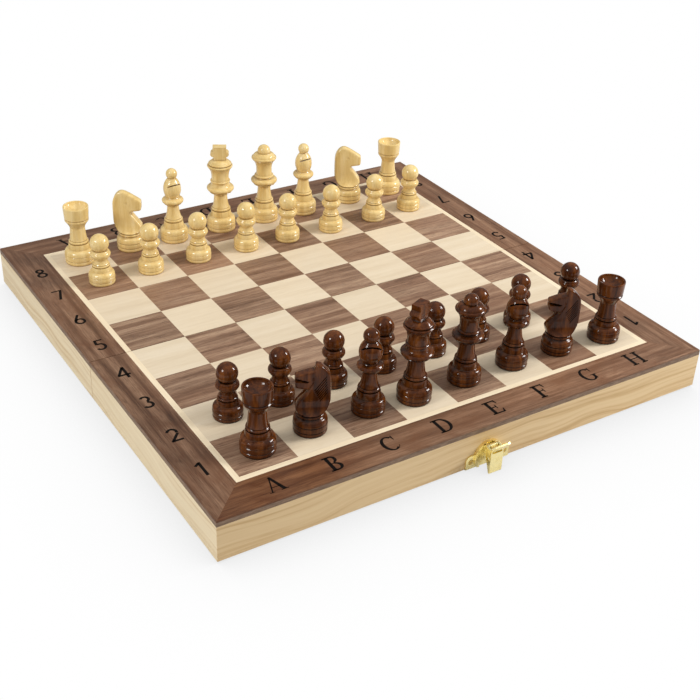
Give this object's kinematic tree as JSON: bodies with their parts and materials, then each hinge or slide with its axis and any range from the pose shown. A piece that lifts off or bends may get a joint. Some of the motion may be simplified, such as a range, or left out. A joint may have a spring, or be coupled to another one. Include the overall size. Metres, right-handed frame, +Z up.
{
  "type": "folding chess box",
  "caption": "Folding wooden chess box, open flat as a board: hinged tray halves with a brass clasp, veneered squares, strip and border, and turned men set up for play.",
  "frame": {"origin": "on the table under the middle of the fold, level with the lowest points of the hinge knuckles", "axes": "+X along the fold from file a to file h, +Y from rank 1 to rank 8 away from the clasp, +Z up out of the playing face"},
  "size_m": [0.29, 0.3021, 0.0781],
  "materials": {
    "pine": "satin lacquer",
    "border_veneer": "satin lacquer",
    "dark_veneer": "satin lacquer",
    "light_veneer": "satin lacquer",
    "felt": "matt felt",
    "brass": "bright, lacquered",
    "dark_man": "gloss lacquer",
    "light_man": "gloss lacquer"
  },
  "bodies": {
    "near_half": {"near_end_wall": "pine", "near_hinge_wall": "pine", "near_side_walls": "pine", "near_panel": "pine", "near_border": "border_veneer", "near_strip": "light_veneer", "near_dark_squares": "dark_veneer", "near_light_squares": "light_veneer", "near_lining": "felt", "near_hinge_leaves": "brass", "hinge_pins": "brass", "near_screws": "brass", "clasp_plate": "brass", "clasp_pin": "brass"},
    "far_half": {"far_end_wall": "pine", "far_hinge_wall": "pine", "far_side_walls": "pine", "far_panel": "pine", "far_border": "border_veneer", "far_strip": "light_veneer", "far_dark_squares": "dark_veneer", "far_light_squares": "light_veneer", "far_lining": "felt", "far_hinge_leaves": "brass", "far_screws": "brass", "catch_plate": "brass"},
    "tongue": {"clasp_tongue": "brass"},
    "dark_rook_a_body": {"dark_rook_a": "dark_man"},
    "dark_knight_b_body": {"dark_knight_b": "dark_man"},
    "dark_bishop_c_body": {"dark_bishop_c": "dark_man"},
    "dark_king_d_body": {"dark_king_d": "dark_man"},
    "dark_queen_e_body": {"dark_queen_e": "dark_man"},
    "dark_bishop_f_body": {"dark_bishop_f": "dark_man"},
    "dark_knight_g_body": {"dark_knight_g": "dark_man"},
    "dark_rook_h_body": {"dark_rook_h": "dark_man"},
    "dark_pawn_a_body": {"dark_pawn_a": "dark_man"},
    "dark_pawn_b_body": {"dark_pawn_b": "dark_man"},
    "dark_pawn_c_body": {"dark_pawn_c": "dark_man"},
    "dark_pawn_d_body": {"dark_pawn_d": "dark_man"},
    "dark_pawn_e_body": {"dark_pawn_e": "dark_man"},
    "dark_pawn_f_body": {"dark_pawn_f": "dark_man"},
    "dark_pawn_g_body": {"dark_pawn_g": "dark_man"},
    "dark_pawn_h_body": {"dark_pawn_h": "dark_man"},
    "light_rook_a_body": {"light_rook_a": "light_man"},
    "light_knight_b_body": {"light_knight_b": "light_man"},
    "light_bishop_c_body": {"light_bishop_c": "light_man"},
    "light_king_d_body": {"light_king_d": "light_man"},
    "light_queen_e_body": {"light_queen_e": "light_man"},
    "light_bishop_f_body": {"light_bishop_f": "light_man"},
    "light_knight_g_body": {"light_knight_g": "light_man"},
    "light_rook_h_body": {"light_rook_h": "light_man"},
    "light_pawn_a_body": {"light_pawn_a": "light_man"},
    "light_pawn_b_body": {"light_pawn_b": "light_man"},
    "light_pawn_c_body": {"light_pawn_c": "light_man"},
    "light_pawn_d_body": {"light_pawn_d": "light_man"},
    "light_pawn_e_body": {"light_pawn_e": "light_man"},
    "light_pawn_f_body": {"light_pawn_f": "light_man"},
    "light_pawn_g_body": {"light_pawn_g": "light_man"},
    "light_pawn_h_body": {"light_pawn_h": "light_man"}
  },
  "joints": [
    {"name": "box_fold", "type": "hinge", "parent": "near_half", "child": "far_half", "pos_m": [0, 0, 0.0012], "axis": [-1, 0, 0], "range_deg": [0, 180]},
    {"name": "clasp_swing", "type": "hinge", "parent": "near_half", "child": "tongue", "pos_m": [0.0022, -0.1482, 0.0133], "axis": [-1, 0, 0], "range_deg": [-24.9, 60]},
    {"name": "lift_dark_rook_a", "type": "slide", "parent": "near_half", "child": "dark_rook_a_body", "axis": [0, 0, 1], "range_m": [0, 0.06]},
    {"name": "lift_dark_knight_b", "type": "slide", "parent": "near_half", "child": "dark_knight_b_body", "axis": [0, 0, 1], "range_m": [0, 0.06]},
    {"name": "lift_dark_bishop_c", "type": "slide", "parent": "near_half", "child": "dark_bishop_c_body", "axis": [0, 0, 1], "range_m": [0, 0.06]},
    {"name": "lift_dark_king_d", "type": "slide", "parent": "near_half", "child": "dark_king_d_body", "axis": [0, 0, 1], "range_m": [0, 0.06]},
    {"name": "lift_dark_queen_e", "type": "slide", "parent": "near_half", "child": "dark_queen_e_body", "axis": [0, 0, 1], "range_m": [0, 0.06]},
    {"name": "lift_dark_bishop_f", "type": "slide", "parent": "near_half", "child": "dark_bishop_f_body", "axis": [0, 0, 1], "range_m": [0, 0.06]},
    {"name": "lift_dark_knight_g", "type": "slide", "parent": "near_half", "child": "dark_knight_g_body", "axis": [0, 0, 1], "range_m": [0, 0.06]},
    {"name": "lift_dark_rook_h", "type": "slide", "parent": "near_half", "child": "dark_rook_h_body", "axis": [0, 0, 1], "range_m": [0, 0.06]},
    {"name": "lift_dark_pawn_a", "type": "slide", "parent": "near_half", "child": "dark_pawn_a_body", "axis": [0, 0, 1], "range_m": [0, 0.06]},
    {"name": "lift_dark_pawn_b", "type": "slide", "parent": "near_half", "child": "dark_pawn_b_body", "axis": [0, 0, 1], "range_m": [0, 0.06]},
    {"name": "lift_dark_pawn_c", "type": "slide", "parent": "near_half", "child": "dark_pawn_c_body", "axis": [0, 0, 1], "range_m": [0, 0.06]},
    {"name": "lift_dark_pawn_d", "type": "slide", "parent": "near_half", "child": "dark_pawn_d_body", "axis": [0, 0, 1], "range_m": [0, 0.06]},
    {"name": "lift_dark_pawn_e", "type": "slide", "parent": "near_half", "child": "dark_pawn_e_body", "axis": [0, 0, 1], "range_m": [0, 0.06]},
    {"name": "lift_dark_pawn_f", "type": "slide", "parent": "near_half", "child": "dark_pawn_f_body", "axis": [0, 0, 1], "range_m": [0, 0.06]},
    {"name": "lift_dark_pawn_g", "type": "slide", "parent": "near_half", "child": "dark_pawn_g_body", "axis": [0, 0, 1], "range_m": [0, 0.06]},
    {"name": "lift_dark_pawn_h", "type": "slide", "parent": "near_half", "child": "dark_pawn_h_body", "axis": [0, 0, 1], "range_m": [0, 0.06]},
    {"name": "lift_light_rook_a", "type": "slide", "parent": "far_half", "child": "light_rook_a_body", "axis": [0, 0, 1], "range_m": [0, 0.06]},
    {"name": "lift_light_knight_b", "type": "slide", "parent": "far_half", "child": "light_knight_b_body", "axis": [0, 0, 1], "range_m": [0, 0.06]},
    {"name": "lift_light_bishop_c", "type": "slide", "parent": "far_half", "child": "light_bishop_c_body", "axis": [0, 0, 1], "range_m": [0, 0.06]},
    {"name": "lift_light_king_d", "type": "slide", "parent": "far_half", "child": "light_king_d_body", "axis": [0, 0, 1], "range_m": [0, 0.06]},
    {"name": "lift_light_queen_e", "type": "slide", "parent": "far_half", "child": "light_queen_e_body", "axis": [0, 0, 1], "range_m": [0, 0.06]},
    {"name": "lift_light_bishop_f", "type": "slide", "parent": "far_half", "child": "light_bishop_f_body", "axis": [0, 0, 1], "range_m": [0, 0.06]},
    {"name": "lift_light_knight_g", "type": "slide", "parent": "far_half", "child": "light_knight_g_body", "axis": [0, 0, 1], "range_m": [0, 0.06]},
    {"name": "lift_light_rook_h", "type": "slide", "parent": "far_half", "child": "light_rook_h_body", "axis": [0, 0, 1], "range_m": [0, 0.06]},
    {"name": "lift_light_pawn_a", "type": "slide", "parent": "far_half", "child": "light_pawn_a_body", "axis": [0, 0, 1], "range_m": [0, 0.06]},
    {"name": "lift_light_pawn_b", "type": "slide", "parent": "far_half", "child": "light_pawn_b_body", "axis": [0, 0, 1], "range_m": [0, 0.06]},
    {"name": "lift_light_pawn_c", "type": "slide", "parent": "far_half", "child": "light_pawn_c_body", "axis": [0, 0, 1], "range_m": [0, 0.06]},
    {"name": "lift_light_pawn_d", "type": "slide", "parent": "far_half", "child": "light_pawn_d_body", "axis": [0, 0, 1], "range_m": [0, 0.06]},
    {"name": "lift_light_pawn_e", "type": "slide", "parent": "far_half", "child": "light_pawn_e_body", "axis": [0, 0, 1], "range_m": [0, 0.06]},
    {"name": "lift_light_pawn_f", "type": "slide", "parent": "far_half", "child": "light_pawn_f_body", "axis": [0, 0, 1], "range_m": [0, 0.06]},
    {"name": "lift_light_pawn_g", "type": "slide", "parent": "far_half", "child": "light_pawn_g_body", "axis": [0, 0, 1], "range_m": [0, 0.06]},
    {"name": "lift_light_pawn_h", "type": "slide", "parent": "far_half", "child": "light_pawn_h_body", "axis": [0, 0, 1], "range_m": [0, 0.06]}
  ]
}
